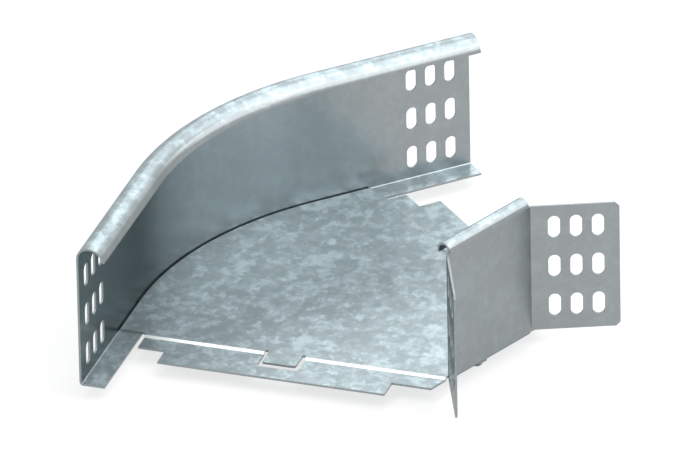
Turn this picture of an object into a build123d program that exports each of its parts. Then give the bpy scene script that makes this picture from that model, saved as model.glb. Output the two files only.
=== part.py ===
"""Cable tray bend, 45 degrees, horizontal, folded from galvanised sheet steel.

A curved outer side rail, a folded inner side rail and a floor plate make the bend.
The floor lies on the bottom flanges of both rails, and a bolt holds it to the inner one.

X runs into the bend along its first end, Y points to the outer rail, Z points up.
The origin is in the middle of the first end's width, level with the underside of the rails.
"""

from build123d import *

import os
from math import atan2, cos, radians, sin, tan

# Sheet
sheet = 1.25
fold_radius = 1.0

# Course of the bend, measured on the outer faces of the rails
turn = 45.0
tray_width = 200.0
outer_straight = 102.0
inner_corner_along = 63.0

# Section of the rails
outer_height = 88.5
outer_flange = 15.0
outer_bead_shoulder = 7.3
outer_bead_brow = 9.7
outer_bead_brow_angle = 78.0
outer_lip = 0.4
inner_height = 86.7
inner_flange = 20.0
inner_bead_radius = 4.7
inner_lip = 2.0

# Wings of the inner rail
wing_splay = 22.5
wing_length = 50.4
wing_foot_gap = 0.45
wing_corner = 2.5
rail_end_relief = 1.5
inner_flange_mitre = 30.0

# Bolt slots, upright, in columns and in as many rows as the height has room for
slot_width = 7.0
slot_height = 14.0
slot_columns = 3
slot_column_pitch = 12.5
slot_row_pitch = 25.0
slot_top_margin = 5.0
outer_slot_along = 12.5
outer_slot_bottom = 15.0
wing_slot_from_end = 12.3
wing_slot_bottom = 18.3

# Floor plate and its lowered end strips, whose lengths count from the step
web_gap = 0.15
floor_setback = 2.6
step_run = 1.4
strip_narrow_length = 12.8
strip_wide_length = 26.6
strip_wide_width = 135.2
strip_flange_gap = 2.9
strip_inner_taper = 5.0
strip_offset = 1.7

# Tongue cut from the floor over each end strip
tongue_width = 20.0
tongue_length = 12.2
tongue_corner = 1.5
tongue_tip_gap = 2.8
slit_width = 2.3
slit_past_step = 1.8
recess_corner = 2.0

# Bolt through the floor and the inner flange
bolt_diameter = 6.0
bolt_length = 10.5
bolt_inset = 11.0
bolt_head_diameter = 13.5
bolt_head_height = 2.6
neck_short_of_nut = 0.5
neck_clearance = 0.2
nut_across_flats = 10.0
nut_height = 5.0
bolt_end_chamfer = 0.6

# The outer arc is struck from the line of the inner edge, so its radius is the width
half_turn = turn / 2
half_width = tray_width / 2
outer_arc_radius = tray_width
arc_centre = Vector(outer_straight, half_width - outer_arc_radius, 0)
apex_along = outer_straight + outer_arc_radius * tan(radians(half_turn))
apex = Vector(apex_along, half_width, 0)
tangent = Vector(cos(radians(half_turn)), -sin(radians(half_turn)), 0)
inward = Vector(-sin(radians(half_turn)), -cos(radians(half_turn)), 0)
halving = Plane(origin=apex, x_dir=inward, z_dir=tangent)
inner_corner = Vector(inner_corner_along, -half_width, 0)
plate_half_length = (apex - inner_corner).dot(tangent)
plate_frame = Plane(origin=inner_corner + tangent * plate_half_length, x_dir=tangent, z_dir=(0, 0, 1))
end_frame = Plane(origin=(0, half_width, 0), x_dir=(0, -1, 0), z_dir=(-1, 0, 0))

# Heights and edges that follow from the sheet, the folds and the rails
fold_outside = fold_radius + sheet
wing_bottom = fold_outside + wing_foot_gap
wing_top = inner_height - inner_bead_radius
floor_bottom = sheet
floor_top = floor_bottom + sheet
floor_web_inset = fold_outside + web_gap
floor_inner_end = tray_width - floor_web_inset
strip_outer_end = outer_flange + strip_flange_gap
strip_inner_end = floor_inner_end - strip_inner_taper
strip_middle = half_width + strip_offset

# Lines across the first end that follow from the step, which is level with the corner
step_top = inner_corner_along
floor_start = step_top + floor_setback
strip_narrow_front = step_top - strip_narrow_length
strip_wide_front = step_top - strip_wide_length
tongue_tip = step_top - tongue_length
recess_front = tongue_tip - tongue_tip_gap
slit_end = step_top + slit_past_step


def rail_line(inset, flange, height, shoulder_radius, brow_radius, brow_angle, lip_length):
    """One face of the rail's sheet from the flange over the web to the bead's lip."""
    foot = Line((flange, inset), (fold_outside, inset))
    fold = JernArc(foot @ 1, foot % 1, fold_outside - inset, -90)
    web = Line(fold @ 1, (inset, height - shoulder_radius))
    shoulder = JernArc(web @ 1, web % 1, shoulder_radius - inset, -90)
    brow = JernArc(shoulder @ 1, shoulder % 1, brow_radius - inset, -brow_angle)
    lip = Line(brow @ 1, (brow @ 1) + (brow % 1) * lip_length)
    return [foot, fold, web, shoulder, brow, lip]


def rail_section(*shape):
    """Cross-section of a rail: across is inward from the web's outer face, up is up."""
    outside = rail_line(0, *shape)
    inside = rail_line(sheet, *shape)
    lip_end = Line(outside[-1] @ 1, inside[-1] @ 1)
    flange_end = Line(outside[0] @ 0, inside[0] @ 0)
    return make_face([*outside, *inside, lip_end, flange_end])


def outer_section():
    """Section of the outer rail, whose wide bead droops to its lip."""
    return rail_section(
        outer_flange,
        outer_height,
        outer_bead_shoulder,
        outer_bead_brow,
        outer_bead_brow_angle,
        outer_lip,
    )


def inner_section():
    """Section of the inner rail, whose narrow bead is half round with a straight lip."""
    return rail_section(inner_flange, inner_height, inner_bead_radius, inner_bead_radius, 90, inner_lip)


def slot_grid(first_along, step, bottom, top, plane):
    """Cutters for a grid of upright slots, whose columns run along the plane's x."""
    highest = top - slot_top_margin - slot_height / 2
    rows = 1 + int((highest - bottom) // slot_row_pitch)
    cutters = []
    for column in range(slot_columns):
        for row in range(rows):
            along = first_along + step * column * slot_column_pitch
            height = bottom + row * slot_row_pitch
            slot = Pos(along, height) * Rot(0, 0, 90) * SlotOverall(slot_height, slot_width)
            cutters.append(extrude(plane * slot, amount=2 * sheet, both=True))
    return cutters


def neck_hole():
    """Cutter for the square hole of the bolt's neck, in the frame of the inner plate."""
    square = bolt_diameter + 2 * neck_clearance
    return Pos(0, bolt_inset, 0) * Box(square, square, 6 * sheet)


def outer_side_rail():
    """Flange, web and rolled bead in one sheet, straight at both ends of the arc."""
    section = end_frame * outer_section()
    web_plane = Plane(origin=(0, half_width, 0), x_dir=(1, 0, 0), z_dir=(0, -1, 0))
    straight = extrude(section, amount=outer_straight, dir=(1, 0, 0))
    web_top = outer_height - outer_bead_shoulder
    straight -= slot_grid(outer_slot_along, 1, outer_slot_bottom, web_top, web_plane)
    curve = revolve(
        Pos(outer_straight, 0, 0) * section,
        axis=Axis(arc_centre, (0, 0, -1)),
        revolution_arc=turn,
    )
    return straight + curve + mirror(straight, about=halving)


def wall_line(inset):
    """One face of the inner rail's wall in plan, from its middle to a wing's end."""
    fold_angle = half_turn + wing_splay
    setback = fold_radius * tan(radians(fold_angle / 2))
    plate = Line((0, inset), (setback - plate_half_length, inset))
    fold = JernArc(plate @ 1, plate % 1, fold_radius + inset, fold_angle)
    wing = Line(fold @ 1, (fold @ 1) + (fold % 1) * (wing_length - setback))
    return [plate, fold, wing]


def wing_frame():
    """Upright plane on a wing's outer face: x runs from the fold to the wing's end."""
    fold_angle = radians(half_turn + wing_splay)
    along = (-cos(fold_angle), -sin(fold_angle), 0)
    into_bend = (-sin(fold_angle), cos(fold_angle), 0)
    return Plane(origin=(-plate_half_length, 0, 0), x_dir=along, z_dir=into_bend)


def wing_wall():
    """Half of the plate and one wing, as high as the wing, with slots and cut corners."""
    near = wall_line(0)
    far = wall_line(sheet)
    middle = Line(near[0] @ 0, far[0] @ 0)
    end = Line(near[-1] @ 1, far[-1] @ 1)
    plan = make_face([*near, *far, middle, end])
    wall = extrude(Pos(0, 0, wing_bottom) * plan, amount=wing_top - wing_bottom)
    frame = wing_frame()
    end_face = wall.faces().sort_by(Axis((0, 0, 0), frame.x_dir))[-1]
    wall = chamfer(end_face.edges().group_by(SortBy.LENGTH)[0], wing_corner)
    first_along = wing_length - wing_slot_from_end
    return wall - slot_grid(first_along, -1, wing_slot_bottom, wing_top, frame)


def inner_side_rail():
    """Plate with flange and bead across the corner, and a splayed wing at each side."""
    half_plate = plate_half_length - rail_end_relief
    across = Plane(origin=(-half_plate, 0, 0), x_dir=(0, 1, 0), z_dir=(1, 0, 0))
    plate = extrude(across * inner_section(), amount=2 * half_plate)
    past_flange = inner_flange + sheet
    mitre_run = (past_flange - fold_outside) * tan(radians(inner_flange_mitre))
    for side in (-1, 1):
        mitre = Polygon(
            (side * half_plate, fold_outside),
            (side * (half_plate - mitre_run), past_flange),
            (side * (half_plate + sheet), past_flange),
            (side * (half_plate + sheet), fold_outside),
            align=None,
        )
        plate -= extrude(mitre, amount=sheet)
    wing = wing_wall()
    rail = plate + wing + mirror(wing, about=Plane.YZ)
    return plate_frame.location * (rail - neck_hole())


def end_point(along, inset):
    """Point in plan at the first end, inset from the outer rail's outer face."""
    return Vector(along, half_width - inset)


def floor_outline():
    """Half of the floor in plan, from the step at the first end to the halving plane."""
    inner_middle = plate_frame.from_local_coords((0, floor_web_inset, 0))
    inner_start = plate_frame.from_local_coords((-plate_half_length, floor_web_inset, 0))
    front = step_top + sheet
    inner_front = inner_start + tangent * ((front - inner_start.X) / tangent.X)
    radius = outer_arc_radius - floor_web_inset
    arc_start = end_point(outer_straight, floor_web_inset)
    arc_middle = arc_centre - inward * radius
    edge = Polyline(
        inner_middle,
        inner_front,
        end_point(front, strip_outer_end),
        end_point(floor_start, outer_flange),
        end_point(floor_start, floor_web_inset),
        arc_start,
    )
    arc = RadiusArc(arc_start, arc_middle, radius, short_sagitta=True)
    return make_face([*edge.edges(), arc, Line(arc_middle, inner_middle)])


def end_strip():
    """Strip that steps down from the floor to slide under the next tray's floor."""
    foot = step_top - step_run
    back = step_top + 2 * sheet
    bend_shift = sheet * tan(atan2(sheet, step_run) / 2)
    profile = Polygon(
        (back, floor_top),
        (step_top, floor_top),
        (foot, floor_bottom),
        (strip_wide_front, floor_bottom),
        (strip_wide_front, 0),
        (foot + bend_shift, 0),
        (step_top + bend_shift, floor_bottom),
        (back, floor_bottom),
        align=None,
    )
    bar = extrude(Plane.XZ * profile, amount=tray_width, both=True)
    wide_outer = strip_middle - strip_wide_width / 2
    wide_inner = strip_middle + strip_wide_width / 2
    outline = Polygon(
        end_point(back, strip_outer_end),
        end_point(strip_narrow_front, strip_outer_end),
        end_point(strip_narrow_front, wide_outer),
        end_point(strip_wide_front, wide_outer),
        end_point(strip_wide_front, wide_inner),
        end_point(strip_narrow_front, wide_inner),
        end_point(strip_narrow_front, strip_inner_end),
        end_point(step_top, floor_inner_end),
        end_point(back, floor_inner_end),
        align=None,
    )
    return bar & extrude(outline, amount=floor_top)


def tongue_opening():
    """Cutter that frees the tongue: a recess in the strip and a round-ended slit each side."""
    middle = half_width - strip_middle
    length = slit_end - slit_width / 2 - recess_front
    opening = Pos(recess_front + length / 2, middle) * Rectangle(length, tongue_width + 2 * slit_width)
    opening = fillet(opening.vertices().group_by(Axis.X)[0], recess_corner)
    for side in (-1, 1):
        across = middle + side * (tongue_width + slit_width) / 2
        opening += Pos(recess_front + length, across) * Circle(slit_width / 2)
    return extrude(opening, amount=3 * sheet, both=True)


def tongue():
    """Flat tongue at the height of the floor, with rounded front corners."""
    length = slit_end + 2 * sheet - tongue_tip
    plan = Pos(tongue_tip + length / 2, half_width - strip_middle) * Rectangle(length, tongue_width)
    plan = fillet(plan.vertices().group_by(Axis.X)[0], tongue_corner)
    return extrude(Pos(0, 0, floor_bottom) * plan, amount=sheet)


def floor_plate():
    """Floor between the rails, with a stepped strip and a tongue at each end."""
    half = extrude(Pos(0, 0, floor_bottom) * floor_outline(), amount=sheet)
    half += end_strip()
    half -= tongue_opening()
    half += tongue()
    plate = half + mirror(half, about=halving)
    return plate - plate_frame.location * neck_hole()


def bolt():
    """Mushroom-head bolt: the head lies on the floor, the square neck sits in it."""
    rim = bolt_head_diameter / 2
    dome_radius = (rim**2 + bolt_head_height**2) / (2 * bolt_head_height)
    dome = RadiusArc((rim, 0), (0, bolt_head_height), -dome_radius)
    head_half = make_face([dome, Line((0, bolt_head_height), (0, 0)), Line((0, 0), (rim, 0))])
    head = revolve(Plane.XZ * head_half, axis=Axis.Z)
    neck_height = floor_top - neck_short_of_nut
    neck = Pos(0, 0, -neck_height / 2) * Box(bolt_diameter, bolt_diameter, neck_height)
    shank = Pos(0, 0, -bolt_length / 2) * Cylinder(bolt_diameter / 2, bolt_length)
    shank = chamfer(shank.edges().group_by(Axis.Z)[0], bolt_end_chamfer)
    placed = Pos(0, bolt_inset, floor_top) * (head + neck + shank)
    return plate_frame.location * placed


def nut():
    """Hexagon nut drawn up against the underside of the inner flange."""
    across_corners = nut_across_flats / cos(radians(30))
    hexagon = extrude(RegularPolygon(across_corners / 2, 6), amount=-nut_height)
    cone_height = (across_corners - nut_across_flats) / 2 + nut_height
    hexagon &= Pos(0, 0, -cone_height / 2) * Cylinder(across_corners / 2, cone_height)
    blank = hexagon - Cylinder(bolt_diameter / 2, 4 * nut_height)
    return plate_frame.location * (Pos(0, bolt_inset, 0) * blank)


def main():
    nodes = {
        "outer_side_rail": outer_side_rail(),
        "inner_side_rail": inner_side_rail(),
        "floor_plate": floor_plate(),
        "bolt": bolt(),
        "nut": nut(),
    }
    os.makedirs("parts", exist_ok=True)
    for name, shape in nodes.items():
        export_step(shape, f"parts/{name}.step")


if __name__ == "__main__":
    main()
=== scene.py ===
"""Cable tray bend of galvanised sheet steel, on a pale floor in soft studio light."""

from math import atan2, cos, pi, radians, sin

import bmesh
import bpy
from mathutils import Matrix, Vector


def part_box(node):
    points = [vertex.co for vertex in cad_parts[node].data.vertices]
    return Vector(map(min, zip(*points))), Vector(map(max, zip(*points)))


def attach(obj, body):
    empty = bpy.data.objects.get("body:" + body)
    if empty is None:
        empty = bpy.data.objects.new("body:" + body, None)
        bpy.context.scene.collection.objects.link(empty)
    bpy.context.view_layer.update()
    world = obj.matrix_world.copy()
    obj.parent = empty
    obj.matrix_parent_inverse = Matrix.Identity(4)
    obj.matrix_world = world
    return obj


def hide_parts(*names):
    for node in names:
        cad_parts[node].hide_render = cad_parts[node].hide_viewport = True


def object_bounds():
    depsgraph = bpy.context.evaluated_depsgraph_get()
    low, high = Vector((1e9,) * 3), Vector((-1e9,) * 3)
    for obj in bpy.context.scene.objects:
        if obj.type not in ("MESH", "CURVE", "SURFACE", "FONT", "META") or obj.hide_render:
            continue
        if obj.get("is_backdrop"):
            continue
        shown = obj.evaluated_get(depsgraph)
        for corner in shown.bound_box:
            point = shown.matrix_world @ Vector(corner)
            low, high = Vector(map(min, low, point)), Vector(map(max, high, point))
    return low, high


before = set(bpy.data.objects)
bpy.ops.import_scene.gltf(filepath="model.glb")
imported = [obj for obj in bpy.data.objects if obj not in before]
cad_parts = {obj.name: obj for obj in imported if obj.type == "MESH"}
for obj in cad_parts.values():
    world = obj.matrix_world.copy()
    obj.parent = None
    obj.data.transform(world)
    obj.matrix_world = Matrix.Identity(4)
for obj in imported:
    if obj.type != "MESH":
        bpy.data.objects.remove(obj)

bl_info = {
    "name": "Cable tray bend",
    "version": (1, 0, 0),
    "blender": (4, 5, 0),
    "location": "View3D > Sidebar > Tray bend",
    "description": "Gives a folded cable tray bend its zinc finish and sets it in a studio",
    "category": "Object",
}

SHEET_SLOT = "galvanised_sheet"
FASTENER_SLOT = "zinc_plated_fastener"
SHEETS = ("outer_side_rail", "inner_side_rail", "floor_plate")

# Places of the materials on a sheet
# The third of them is the painted highlight on the floor's steps
ZINC_FACE, CUT_FACE, STEP_HIGHLIGHT_FACE = range(3)

# Corners this close are joined
WELD_DISTANCE = 1e-6

# A face this narrow is the cut edge of a sheet, and a turn this sharp divides two faces
CUT_WIDTH = 0.0013
SHARP_TURN = radians(25)

# The upward part of a step face's normal lies between these
STEP_SLOPES = (0.5, 0.9)

# Spangle: the usual width of a flake, and what each layer adds to the mask
FLAKE_SIZE = 0.0075
LARGE_SHARE = 0.35
SMALL_SHARE = 0.3
CLOUD_SHARE = 0.35
GRAIN_SHARE = 0.16

# Place of the usual colour between the darkest flakes and the lightest,
# and the parts of the contrast that darken the darkest flakes and the usual ones
USUAL_PLACE = 0.45
DARK_PART = 0.8
USUAL_PART = 0.2

# Painted light: a face turns to the paler level colour, with stronger flakes and a duller finish, as
# the upward part of its normal goes from the first to the second
PAINTED_LIGHT_SLOPES = (0.5, 1.0)

# Tint of the zinc where it is seen at a flat angle, and what level faces add to its roughness
ZINC_TINT = (0.46, 0.5, 0.5, 1)
LEVEL_ROUGHENING = 0.05

# Wear of the cut edges: its scale, its darkest and lightest shades, and its roughness
WEAR_SCALE = 900.0
WEAR_SHADES = (0.88, 1.1)
WEAR_ROUGHNESS = (0.4, 0.55)

# Bolt, in metres
HEAD_RADIUS = 0.00675
HEAD_HEIGHT = 0.0026
HEAD_STEPS = 10
SHANK_RADIUS = 0.003
NECK_HEIGHT = 0.002
NECK_TURN = radians(-22.5)
ROUND_STEPS = 32

# Half the groove's width, as a share of the thread's pitch, and the rows of corners to a turn
GROOVE_SHARE = 0.42
ROWS_PER_TURN = 8

# Studio floor, in metres: half its width, and where it starts and ends turning plain white
FLOOR_REACH = 6.0
FADE_START = 0.7
FADE_END = 1.6

# Studio floor: the colour that it casts on the bend, and its shaded colour and glow to the eye
FLOOR_COLOUR = (0.8, 0.81, 0.82)
SHADED_COLOUR = (0.35, 0.35, 0.35)
FLOOR_GLOW = 0.72

# Surroundings
WHITE = (1.0, 1.0, 1.0)
SKY_COLOUR = (0.93, 0.97, 1.0)
SKY_STRENGTH = 0.3

# Name, azimuth, elevation, distance, size and power of each lamp, in degrees, metres and watts
LAMPS = (
    ("Back lamp", 5, 36, 1.5, 1.2, 2.0),
    ("Low back lamp", 6, 26, 1.5, 0.7, 2.0),
    ("Left top lamp", 144, 60, 1.4, 1.1, 6.5),
    ("Front lamp", 250, 36, 1.5, 1.0, 5.5),
    ("Right lamp", 288, 30, 1.5, 1.0, 5.0),
    ("Low right lamp", 318, 24, 1.5, 0.4, 0.8),
    ("Right top lamp", 305, 68, 1.5, 1.3, 10.4),
)


class ZincSettings(bpy.types.PropertyGroup):
    """Finish of the zinc."""

    # Plain zinc colour, kept on upright faces
    plain_zinc_colour: bpy.props.FloatVectorProperty(
        name="Bright zinc",
        description="Colour of upright faces, whose zinc has stayed bright",
        subtype="COLOR",
        size=3,
        min=0.0,
        max=1.0,
        default=(0.292, 0.318, 0.326),
    )
    # Painted light: level faces are given this paler colour to stand for the light that falls on them
    # from above
    level_colour_with_painted_light: bpy.props.FloatVectorProperty(
        name="Level zinc with painted light",
        description="Colour of level faces, on which the zinc has turned paler and duller",
        subtype="COLOR",
        size=3,
        min=0.0,
        max=1.0,
        default=(0.41, 0.49, 0.52),
    )
    # How far the metal of level faces turns matt, which makes them duller
    level_mattness: bpy.props.FloatProperty(
        name="Bloom",
        description="How matt the level faces have become",
        default=0.42,
        min=0.0,
        max=1.0,
        subtype="FACTOR",
    )
    roughness: bpy.props.FloatProperty(
        name="Roughness",
        description="Roughness of the bright zinc",
        default=0.25,
        min=0.0,
        max=1.0,
        subtype="FACTOR",
    )
    flake_size: bpy.props.FloatProperty(
        name="Flake size",
        description="Usual width of a flake of the spangle",
        default=FLAKE_SIZE,
        min=0.002,
        subtype="DISTANCE",
        unit="LENGTH",
    )
    # Painted light: the flakes stand out more on level faces, to stand for the light that they catch
    # from above; the spangle itself is the zinc's own pattern
    level_contrast: bpy.props.FloatProperty(
        name="Contrast on level faces",
        description="How far the flakes stand out on level faces",
        default=0.29,
        min=0.0,
        max=1.0,
        subtype="FACTOR",
    )
    upright_contrast: bpy.props.FloatProperty(
        name="Contrast on upright faces",
        description="How far the flakes stand out on upright faces",
        default=0.055,
        min=0.0,
        max=1.0,
        subtype="FACTOR",
    )
    cut_colour: bpy.props.FloatVectorProperty(
        name="Cut edge",
        description="Colour of the sheets' sheared edges",
        subtype="COLOR",
        size=3,
        min=0.0,
        max=1.0,
        default=(0.32, 0.35, 0.36),
    )
    # Painted highlight: the floor's step faces are given this near-white colour to stand for the light
    # that they catch
    step_highlight_colour: bpy.props.FloatVectorProperty(
        name="Painted step highlight",
        description="Colour of the floor's sharp steps, where the bent zinc has turned white",
        subtype="COLOR",
        size=3,
        min=0.0,
        max=1.0,
        default=(0.84, 0.86, 0.86),
    )


class ThreadSettings(bpy.types.PropertyGroup):
    """Thread of the bolt."""

    pitch: bpy.props.FloatProperty(
        name="Pitch",
        description="Rise of the thread in one turn",
        default=0.001,
        min=0.0005,
        subtype="DISTANCE",
        unit="LENGTH",
    )
    depth: bpy.props.FloatProperty(
        name="Depth",
        description="How far the groove goes into the shank",
        default=0.00055,
        min=0.0,
        subtype="DISTANCE",
        unit="LENGTH",
    )
    chamfer: bpy.props.FloatProperty(
        name="Chamfer",
        description="Height and width of the chamfer round the shank's end",
        default=0.0006,
        min=0.0,
        subtype="DISTANCE",
        unit="LENGTH",
    )


class StudioSettings(bpy.types.PropertyGroup):
    """Camera and floor of the studio."""

    azimuth: bpy.props.FloatProperty(
        name="Azimuth",
        description="Turn of the camera about the upright axis",
        default=radians(-71.41),
        subtype="ANGLE",
        unit="ROTATION",
    )
    elevation: bpy.props.FloatProperty(
        name="Elevation",
        description="Height of the camera over the horizon",
        default=radians(28.17),
        subtype="ANGLE",
        unit="ROTATION",
    )
    roll: bpy.props.FloatProperty(
        name="Roll",
        description="Turn of the camera about its own line of sight",
        default=radians(-1.106),
        subtype="ANGLE",
        unit="ROTATION",
    )
    distance: bpy.props.FloatProperty(
        name="Distance",
        description="Distance from the camera to the point that it looks at",
        default=9.626,
        min=1.0,
        subtype="DISTANCE",
        unit="LENGTH",
    )
    focal_length: bpy.props.FloatProperty(
        name="Focal length",
        description="Focal length of the camera's lens",
        default=868.6,
        min=10.0,
        subtype="DISTANCE_CAMERA",
        unit="CAMERA",
    )
    look_at: bpy.props.FloatVectorProperty(
        name="Look at",
        description="Point in the middle of the picture",
        default=(0.15337, -0.01153, 0.04063),
        size=3,
        subtype="TRANSLATION",
        unit="LENGTH",
    )
    floor_gap: bpy.props.FloatProperty(
        name="Floor gap",
        description="How far the studio's floor lies below the lowest point of the bend",
        default=0.0003,
        min=0.0,
        subtype="DISTANCE",
        unit="LENGTH",
    )


def link(tree, source, target):
    tree.links.new(source, target)


def group_socket(tree, name, kind, way):
    return tree.interface.new_socket(name=name, in_out=way, socket_type=kind)


def math_node(tree, operation, first, second):
    node = tree.nodes.new("ShaderNodeMath")
    node.operation = operation
    for value, socket in zip((first, second), node.inputs):
        if isinstance(value, (int, float)):
            socket.default_value = value
        else:
            link(tree, value, socket)
    return node.outputs[0]


def map_range(tree, value, low, high, to_low=0.0, to_high=1.0, smooth=True):
    node = tree.nodes.new("ShaderNodeMapRange")
    node.interpolation_type = "SMOOTHSTEP" if smooth else "LINEAR"
    link(tree, value, node.inputs["Value"])
    node.inputs["From Min"].default_value = low
    node.inputs["From Max"].default_value = high
    node.inputs["To Min"].default_value = to_low
    node.inputs["To Max"].default_value = to_high
    return node.outputs["Result"]


def blend_value(tree, factor, first, second):
    """Number that goes from the first to the second as the factor rises."""
    node = tree.nodes.new("ShaderNodeMix")
    link(tree, factor, node.inputs["Factor"])
    node.inputs["A"].default_value = first
    node.inputs["B"].default_value = second
    return node.outputs["Result"]


def noise(tree, vector, scale, detail=2.0, roughness=0.5, output="Fac"):
    node = tree.nodes.new("ShaderNodeTexNoise")
    link(tree, vector, node.inputs["Vector"])
    node.inputs["Scale"].default_value = scale
    node.inputs["Detail"].default_value = detail
    node.inputs["Roughness"].default_value = roughness
    return node.outputs[output]


def frayed(tree, vector, scale, amount):
    """Coordinates shaken by a rough noise, which frays the borders of a pattern."""
    shake = noise(tree, vector, scale, detail=5.0, roughness=0.65, output="Color")
    node = tree.nodes.new("ShaderNodeVectorMath")
    node.operation = "MULTIPLY_ADD"
    link(tree, shake, node.inputs[0])
    node.inputs[1].default_value = (amount, amount, amount)
    link(tree, vector, node.inputs[2])
    return node.outputs[0]


def flake_levels(tree, vector, scale):
    """A random level in each flake of a cell pattern."""
    node = tree.nodes.new("ShaderNodeTexVoronoi")
    node.feature = "SMOOTH_F1"
    link(tree, vector, node.inputs["Vector"])
    node.inputs["Scale"].default_value = scale
    node.inputs["Smoothness"].default_value = 0.8
    split = tree.nodes.new("ShaderNodeSeparateColor")
    link(tree, node.outputs["Color"], split.inputs[0])
    return split.outputs[0]


def spangle_group():
    """Mask of light and dark flakes of zinc, with a fine grain."""
    tree = bpy.data.node_groups.new("Zinc spangle", "ShaderNodeTree")
    group_socket(tree, "Vector", "NodeSocketVector", "INPUT")
    group_socket(tree, "Flake size", "NodeSocketFloat", "INPUT").default_value = FLAKE_SIZE
    group_socket(tree, "Flakes", "NodeSocketFloat", "OUTPUT")
    start = tree.nodes.new("NodeGroupInput")
    end = tree.nodes.new("NodeGroupOutput")
    scaled = tree.nodes.new("ShaderNodeVectorMath")
    scaled.operation = "SCALE"
    flakes_to_metre = math_node(tree, "DIVIDE", 1.0, start.outputs["Flake size"])
    link(tree, start.outputs["Vector"], scaled.inputs[0])
    link(tree, flakes_to_metre, scaled.inputs["Scale"])
    vector = scaled.outputs[0]
    large = flake_levels(tree, frayed(tree, vector, scale=0.8, amount=3.0), scale=1.0)
    small = flake_levels(tree, frayed(tree, vector, scale=1.6, amount=1.6), scale=2.2)
    cloud = noise(tree, vector, scale=0.3, detail=6.0, roughness=0.7)
    grain = noise(tree, vector, scale=9.0)
    layers = ((large, LARGE_SHARE), (small, SMALL_SHARE), (cloud, CLOUD_SHARE), (grain, GRAIN_SHARE))
    mask = 0.0
    for layer, share in layers:
        mask = math_node(tree, "ADD", mask, math_node(tree, "MULTIPLY", layer, share))
    link(tree, map_range(tree, mask, low=0.33, high=0.83), end.inputs["Flakes"])
    return tree


def shared_spangle():
    return bpy.data.node_groups.get("Zinc spangle") or spangle_group()


def flake_colours(tree, flakes, colour, contrast):
    """Colours of dark, usual and light flakes round one colour."""
    ramp = tree.nodes.new("ShaderNodeValToRGB")
    ramp.color_ramp.elements.new(USUAL_PLACE)
    shades = (1 - contrast * DARK_PART, 1 - contrast * USUAL_PART, 1 + contrast)
    for element, shade in zip(ramp.color_ramp.elements, shades):
        element.color = (*[min(1, part * shade) for part in colour], 1)
    link(tree, flakes, ramp.inputs["Fac"])
    return ramp.outputs["Color"]


def metal_material(name):
    """New material, and the metal shader in it."""
    material = bpy.data.materials.new(name)
    material.use_nodes = True
    return material, material.node_tree.nodes["Principled BSDF"]


def zinc_material(name, zinc, flake_size):
    """Zinc that is shinier on upright faces, and duller on level ones, which also carry painted light:
    a paler colour and flakes that stand out more.
    """
    material, metal = metal_material(name)
    tree = material.node_tree
    coordinates = tree.nodes.new("ShaderNodeTexCoord")
    facing = tree.nodes.new("ShaderNodeSeparateXYZ")
    link(tree, coordinates.outputs["Normal"], facing.inputs["Vector"])
    # Painted light: level faces get the paler colour and the stronger flakes
    level = map_range(tree, facing.outputs["Z"], *PAINTED_LIGHT_SLOPES)
    spangle = tree.nodes.new("ShaderNodeGroup")
    spangle.node_tree = shared_spangle()
    link(tree, coordinates.outputs["Object"], spangle.inputs["Vector"])
    spangle.inputs["Flake size"].default_value = flake_size
    flakes = spangle.outputs["Flakes"]
    upright_colours = flake_colours(tree, flakes, zinc.plain_zinc_colour, zinc.upright_contrast)
    level_colours = flake_colours(tree, flakes, zinc.level_colour_with_painted_light, zinc.level_contrast)
    colour = tree.nodes.new("ShaderNodeMix")
    colour.data_type = "RGBA"
    link(tree, level, colour.inputs["Factor"])
    link(tree, upright_colours, colour.inputs["A"])
    link(tree, level_colours, colour.inputs["B"])
    metallic = blend_value(tree, level, 1.0, 1.0 - zinc.level_mattness)
    roughness = blend_value(tree, level, zinc.roughness, zinc.roughness + LEVEL_ROUGHENING)
    link(tree, colour.outputs["Result"], metal.inputs["Base Color"])
    link(tree, metallic, metal.inputs["Metallic"])
    link(tree, roughness, metal.inputs["Roughness"])
    metal.inputs["Specular Tint"].default_value = ZINC_TINT
    return material


def cut_material(zinc):
    """Sheared edge of a sheet, duller than its zinc faces."""
    material, metal = metal_material("Cut edge")
    tree = material.node_tree
    coordinates = tree.nodes.new("ShaderNodeTexCoord")
    wear = noise(tree, coordinates.outputs["Object"], WEAR_SCALE, detail=3.0, roughness=0.6)
    ramp = tree.nodes.new("ShaderNodeValToRGB")
    for element, shade in zip(ramp.color_ramp.elements, WEAR_SHADES):
        element.color = (*[part * shade for part in zinc.cut_colour], 1)
    link(tree, map_range(tree, wear, low=0.35, high=0.65), ramp.inputs["Fac"])
    roughness = map_range(tree, wear, 0.3, 0.7, *WEAR_ROUGHNESS, smooth=False)
    link(tree, ramp.outputs["Color"], metal.inputs["Base Color"])
    link(tree, roughness, metal.inputs["Roughness"])
    metal.inputs["Metallic"].default_value = 0.6
    return material


def step_highlight_material(zinc):
    """Painted highlight on a sharp step: near-white metal that stands for the light that the step
    catches.
    """
    material, metal = metal_material("Painted step highlight")
    metal.inputs["Base Color"].default_value = (*zinc.step_highlight_colour, 1)
    metal.inputs["Metallic"].default_value = 0.85
    metal.inputs["Roughness"].default_value = 0.45
    metal.inputs["Specular Tint"].default_value = (0.3, 0.3, 0.3, 1)
    return material


def welded_copy(node):
    """Mesh of a CAD node with its corners joined and its shading kept."""
    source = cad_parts[node].data
    shading = [tuple(corner.vector) for corner in source.corner_normals]
    shape = bmesh.new()
    shape.from_mesh(source)
    bmesh.ops.remove_doubles(shape, verts=shape.verts, dist=WELD_DISTANCE)
    mesh = bpy.data.meshes.new(node)
    shape.to_mesh(mesh)
    shape.free()
    mesh.normals_split_custom_set(shading)
    return mesh


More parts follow.
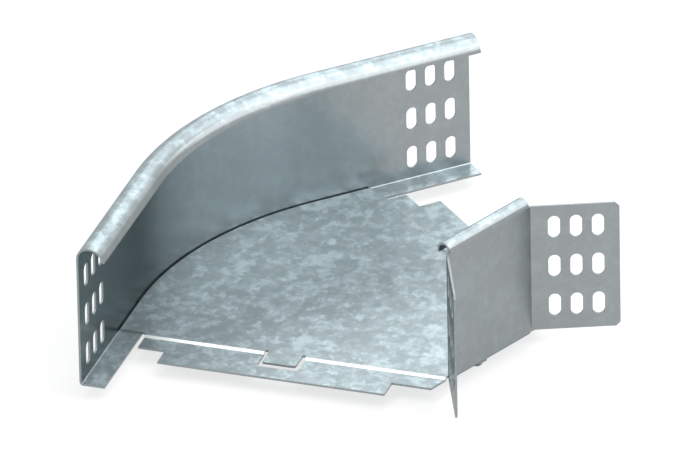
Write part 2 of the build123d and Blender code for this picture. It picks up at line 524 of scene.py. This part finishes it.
def smooth_patches(shape):
    """Groups of faces that meet without a sharp turn."""
    waiting = set(shape.faces)
    while waiting:
        patch = [waiting.pop()]
        for face in patch:
            for edge in face.edges:
                if edge.calc_face_angle(pi) > SHARP_TURN:
                    continue
                fresh = [other for other in edge.link_faces if other in waiting]
                waiting.difference_update(fresh)
                patch.extend(fresh)
        yield patch


def patch_width(patch):
    """Mean width of a patch: twice its area over the length of its border."""
    inside = set(patch)
    border = sum(
        edge.calc_length()
        for face in patch
        for edge in face.edges
        if not all(other in inside for other in edge.link_faces)
    )
    return 2 * sum(face.calc_area() for face in patch) / border


def mark_cut_faces(mesh):
    """Part the sheet's cut edges from its zinc faces."""
    shape = bmesh.new()
    shape.from_mesh(mesh)
    narrow = [patch for patch in smooth_patches(shape) if patch_width(patch) < CUT_WIDTH]
    cut = {face.index for patch in narrow for face in patch}
    shape.free()
    for polygon in mesh.polygons:
        polygon.material_index = CUT_FACE if polygon.index in cut else ZINC_FACE


def mark_step_faces(mesh):
    """Part the sloping faces of the floor's steps from the others."""
    for polygon in mesh.polygons:
        if STEP_SLOPES[0] < abs(polygon.normal.z) < STEP_SLOPES[1]:
            polygon.material_index = STEP_HIGHLIGHT_FACE


def add_piece(name, mesh, slot, *nodes):
    """Object that stands for one or more CAD nodes."""
    piece = bpy.data.objects.new(name, mesh)
    bpy.context.scene.collection.objects.link(piece)
    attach(piece, "root")
    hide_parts(*nodes)


def dressed_sheet(node, materials):
    """Copy of a CAD sheet with a finish of its own on zinc faces and cut edges, and a painted highlight
    on the floor's steps.
    """
    mesh = welded_copy(node)
    for material in materials:
        mesh.materials.append(material)
    mark_cut_faces(mesh)
    if node == "floor_plate":
        # Painted highlight on the floor's steps
        mark_step_faces(mesh)
    add_piece(node + "_sheet", mesh, SHEET_SLOT, node)


def turn_profile(shape, profile, middle):
    """Solid turned about an upright axis from a line of radii and heights."""
    points = [shape.verts.new(middle + Vector((radius, 0, height))) for radius, height in profile]
    edges = [shape.edges.new(pair) for pair in zip(points, points[1:])]
    bmesh.ops.spin(
        shape,
        geom=points + edges,
        cent=middle,
        axis=(0, 0, 1),
        angle=2 * pi,
        steps=ROUND_STEPS,
        use_merge=True,
    )


def bolt_head(shape, middle, seat):
    """Low dome on its flat seat."""
    dome_radius = (HEAD_RADIUS**2 + HEAD_HEIGHT**2) / (2 * HEAD_HEIGHT)
    dome_base = seat + HEAD_HEIGHT - dome_radius
    radii = [HEAD_RADIUS * (HEAD_STEPS - step) / HEAD_STEPS for step in range(HEAD_STEPS + 1)]
    dome = [(radius, dome_base + (dome_radius**2 - radius**2) ** 0.5) for radius in radii]
    turn_profile(shape, [(0, seat), *dome], middle)


def bolt_neck(shape, middle, seat):
    """Square neck under the head."""
    place = Matrix.Translation(middle + Vector((0, 0, seat - NECK_HEIGHT / 2)))
    turn = Matrix.Rotation(NECK_TURN, 4, "Z")
    size = Matrix.Diagonal((2 * SHANK_RADIUS, 2 * SHANK_RADIUS, NECK_HEIGHT, 1))
    bmesh.ops.create_cube(shape, size=1.0, matrix=place @ turn @ size)


def thread_radius(thread, turn, rise):
    """Radius of the thread at a turn about the shank and a height over its end."""
    phase = (rise / thread.pitch - turn) % 1.0
    groove = max(0.0, 1.0 - abs(phase - 0.5) / GROOVE_SHARE)
    chamfered = SHANK_RADIUS - max(0.0, thread.chamfer - rise)
    return min(SHANK_RADIUS - thread.depth * groove, chamfered)


def bolt_shank(shape, middle, seat, end, thread):
    """Shank turned plain, and then drawn in along a helix, in a shape that holds nothing else yet."""
    rows = int((seat - end) / thread.pitch * ROWS_PER_TURN)
    wall = [(SHANK_RADIUS, end + (seat - end) * row / rows) for row in range(rows + 1)]
    turn_profile(shape, [(0, end), *wall, (0, seat)], middle)
    for vertex in shape.verts:
        across = vertex.co - middle
        rise = across.z - end
        across.z = 0
        if across.length > SHANK_RADIUS / 2:
            turn = atan2(across.y, across.x) / (2 * pi)
            vertex.co += across * (thread_radius(thread, turn, rise) / across.length - 1)


def bolt_mesh(thread):
    """Mushroom-head bolt with a square neck and a cut thread."""
    low, high = (Vector(corner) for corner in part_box("bolt"))
    middle = Vector(((low.x + high.x) / 2, (low.y + high.y) / 2, 0))
    seat = high.z - HEAD_HEIGHT
    shape = bmesh.new()
    bolt_shank(shape, middle, seat, low.z, thread)
    bolt_neck(shape, middle, seat)
    bolt_head(shape, middle, seat)
    bmesh.ops.remove_doubles(shape, verts=shape.verts, dist=WELD_DISTANCE)
    bmesh.ops.recalc_face_normals(shape, faces=shape.faces)
    for face in shape.faces:
        face.smooth = True
    for edge in shape.edges:
        edge.smooth = edge.calc_face_angle(pi) < SHARP_TURN
    mesh = bpy.data.meshes.new("bolt")
    shape.to_mesh(mesh)
    shape.free()
    return mesh


def give_material(node, material):
    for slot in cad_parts[node].material_slots:
        slot.material = material


class TRAYBEND_OT_sheets(bpy.types.Operator):
    """Give the side rails and the floor plate their galvanised finish"""

    bl_idname = "traybend.sheets"
    bl_label = "Sheets"

    def execute(self, context):
        zinc = context.scene.traybend_zinc
        materials = (
            zinc_material("Galvanised sheet", zinc, zinc.flake_size),
            cut_material(zinc),
            step_highlight_material(zinc),
        )
        for node in SHEETS:
            dressed_sheet(node, materials)
        return {"FINISHED"}


class TRAYBEND_OT_fasteners(bpy.types.Operator):
    """Cut the bolt's thread, and give the bolt and the nut their plated finish"""

    bl_idname = "traybend.fasteners"
    bl_label = "Bolt and nut"

    def execute(self, context):
        zinc = context.scene.traybend_zinc
        material = zinc_material("Plated fastener", zinc, zinc.flake_size / 2)
        mesh = bolt_mesh(context.scene.traybend_thread)
        mesh.materials.append(material)
        add_piece("threaded_bolt", mesh, FASTENER_SLOT, "bolt")
        give_material("nut", material)
        return {"FINISHED"}


def plain_shader(tree, kind, colour, strength=None):
    """Shader of one colour, and of one strength where it gives light."""
    node = tree.nodes.new(kind)
    node.inputs["Color"].default_value = (*colour, 1)
    if strength is not None:
        node.inputs["Strength"].default_value = strength
    return node.outputs[0]


def mixed_shaders(tree, factor, first, second):
    """Shader that goes from the first to the second as the factor rises."""
    mix = tree.nodes.new("ShaderNodeMixShader")
    link(tree, factor, mix.inputs["Fac"])
    link(tree, first, mix.inputs[1])
    link(tree, second, mix.inputs[2])
    return mix.outputs[0]


def seen_directly(tree):
    """One for rays from the camera, and for those that metal or glass sends on."""
    path = tree.nodes.new("ShaderNodeLightPath")
    metal_too = math_node(tree, "MAXIMUM", path.outputs["Is Camera Ray"], path.outputs["Is Glossy Ray"])
    return math_node(tree, "MAXIMUM", metal_too, path.outputs["Is Transmission Ray"])


def floor_material():
    """Pale to the light, and white to the eye where nothing shades it and far from the bend."""
    material = bpy.data.materials.new("Studio floor")
    material.use_nodes = True
    tree = material.node_tree
    tree.nodes.clear()
    matt = plain_shader(tree, "ShaderNodeBsdfDiffuse", FLOOR_COLOUR)
    shaded = plain_shader(tree, "ShaderNodeBsdfDiffuse", SHADED_COLOUR)
    glow = plain_shader(tree, "ShaderNodeEmission", WHITE, FLOOR_GLOW)
    lifted = tree.nodes.new("ShaderNodeAddShader")
    link(tree, shaded, lifted.inputs[0])
    link(tree, glow, lifted.inputs[1])
    coordinates = tree.nodes.new("ShaderNodeTexCoord")
    away = tree.nodes.new("ShaderNodeVectorMath")
    away.operation = "LENGTH"
    link(tree, coordinates.outputs["Object"], away.inputs[0])
    fade = map_range(tree, away.outputs["Value"], FADE_START, FADE_END)
    white = plain_shader(tree, "ShaderNodeEmission", WHITE, 1.0)
    shown = mixed_shaders(tree, fade, lifted.outputs[0], white)
    out = tree.nodes.new("ShaderNodeOutputMaterial")
    link(tree, mixed_shaders(tree, seen_directly(tree), matt, shown), out.inputs["Surface"])
    return material


def studio_floor(low):
    """Level square under the bend."""
    mesh = bpy.data.meshes.new("Studio floor")
    shape = bmesh.new()
    bmesh.ops.create_grid(shape, x_segments=1, y_segments=1, size=FLOOR_REACH)
    bmesh.ops.translate(shape, verts=shape.verts, vec=(0, 0, low))
    shape.to_mesh(mesh)
    shape.free()
    mesh.materials.append(floor_material())
    floor = bpy.data.objects.new("studio_floor", mesh)
    bpy.context.scene.collection.objects.link(floor)
    floor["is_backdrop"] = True


def studio_world():
    """White surroundings to the eye, and a plain level of light on the bend."""
    world = bpy.data.worlds.new("Studio")
    bpy.context.scene.world = world
    world.use_nodes = True
    tree = world.node_tree
    tree.nodes.clear()
    sky = plain_shader(tree, "ShaderNodeBackground", SKY_COLOUR, SKY_STRENGTH)
    white = plain_shader(tree, "ShaderNodeBackground", WHITE, 1.0)
    out = tree.nodes.new("ShaderNodeOutputWorld")
    link(tree, mixed_shaders(tree, seen_directly(tree), sky, white), out.inputs["Surface"])


def studio_lamp(middle, name, azimuth, elevation, distance, size, power):
    """Square soft lamp on a sphere round the bend, turned to its middle."""
    turn = radians(azimuth)
    tilt = radians(elevation)
    place = middle + Vector((cos(turn) * cos(tilt), sin(turn) * cos(tilt), sin(tilt))) * distance
    data = bpy.data.lights.new(name, "AREA")
    data.shape = "SQUARE"
    data.size = size
    data.energy = power
    lamp = bpy.data.objects.new(name, data)
    bpy.context.scene.collection.objects.link(lamp)
    lamp.location = place
    lamp.rotation_euler = (middle - place).to_track_quat("-Z", "Y").to_euler()


def photo_camera(studio):
    """Camera at the photograph's angle, far away with a long lens."""
    turn = studio.azimuth
    tilt = studio.elevation
    back = Vector((sin(turn) * cos(tilt), -cos(turn) * cos(tilt), sin(tilt)))
    facing = back.to_track_quat("Z", "Y").to_matrix() @ Matrix.Rotation(studio.roll, 3, "Z")
    place = Vector(studio.look_at) + back * studio.distance
    data = bpy.data.cameras.new("Camera")
    data.lens = studio.focal_length
    data.sensor_width = 36.0
    data.clip_end = 50.0
    camera = bpy.data.objects.new("Camera", data)
    bpy.context.scene.collection.objects.link(camera)
    camera.matrix_world = Matrix.Translation(place) @ facing.to_4x4()
    bpy.context.scene.camera = camera


class TRAYBEND_OT_studio(bpy.types.Operator):
    """Set the floor, the surroundings, the lamps and the camera"""

    bl_idname = "traybend.studio"
    bl_label = "Studio"

    def execute(self, context):
        studio = context.scene.traybend_studio
        low, high = (Vector(corner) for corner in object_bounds())
        studio_floor(low.z - studio.floor_gap)
        studio_world()
        for lamp in LAMPS:
            studio_lamp((low + high) / 2, *lamp)
        photo_camera(studio)
        context.scene.view_settings.view_transform = "Standard"
        return {"FINISHED"}


class TRAYBEND_PT_panel(bpy.types.Panel):
    """Lists the settings, and the steps that dress the bend"""

    bl_label = "Tray bend"
    bl_idname = "TRAYBEND_PT_panel"
    bl_space_type = "VIEW_3D"
    bl_region_type = "UI"
    bl_category = "Tray bend"

    def draw(self, context):
        scene = context.scene
        for settings in (scene.traybend_zinc, scene.traybend_thread, scene.traybend_studio):
            box = self.layout.box()
            for name in settings.__annotations__:
                box.prop(settings, name)
        for step in STEPS:
            self.layout.operator(step.bl_idname)


STEPS = (
    TRAYBEND_OT_sheets,
    TRAYBEND_OT_fasteners,
    TRAYBEND_OT_studio,
)
CLASSES = (ZincSettings, ThreadSettings, StudioSettings, *STEPS, TRAYBEND_PT_panel)


def register():
    for cls in CLASSES:
        bpy.utils.register_class(cls)
    bpy.types.Scene.traybend_zinc = bpy.props.PointerProperty(type=ZincSettings)
    bpy.types.Scene.traybend_thread = bpy.props.PointerProperty(type=ThreadSettings)
    bpy.types.Scene.traybend_studio = bpy.props.PointerProperty(type=StudioSettings)


def unregister():
    del bpy.types.Scene.traybend_studio
    del bpy.types.Scene.traybend_thread
    del bpy.types.Scene.traybend_zinc
    for cls in reversed(CLASSES):
        bpy.utils.unregister_class(cls)


def main():
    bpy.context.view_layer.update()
    register()
    bpy.ops.traybend.sheets()
    bpy.ops.traybend.fasteners()
    bpy.ops.traybend.studio()


if __name__ == "__main__":
    main()
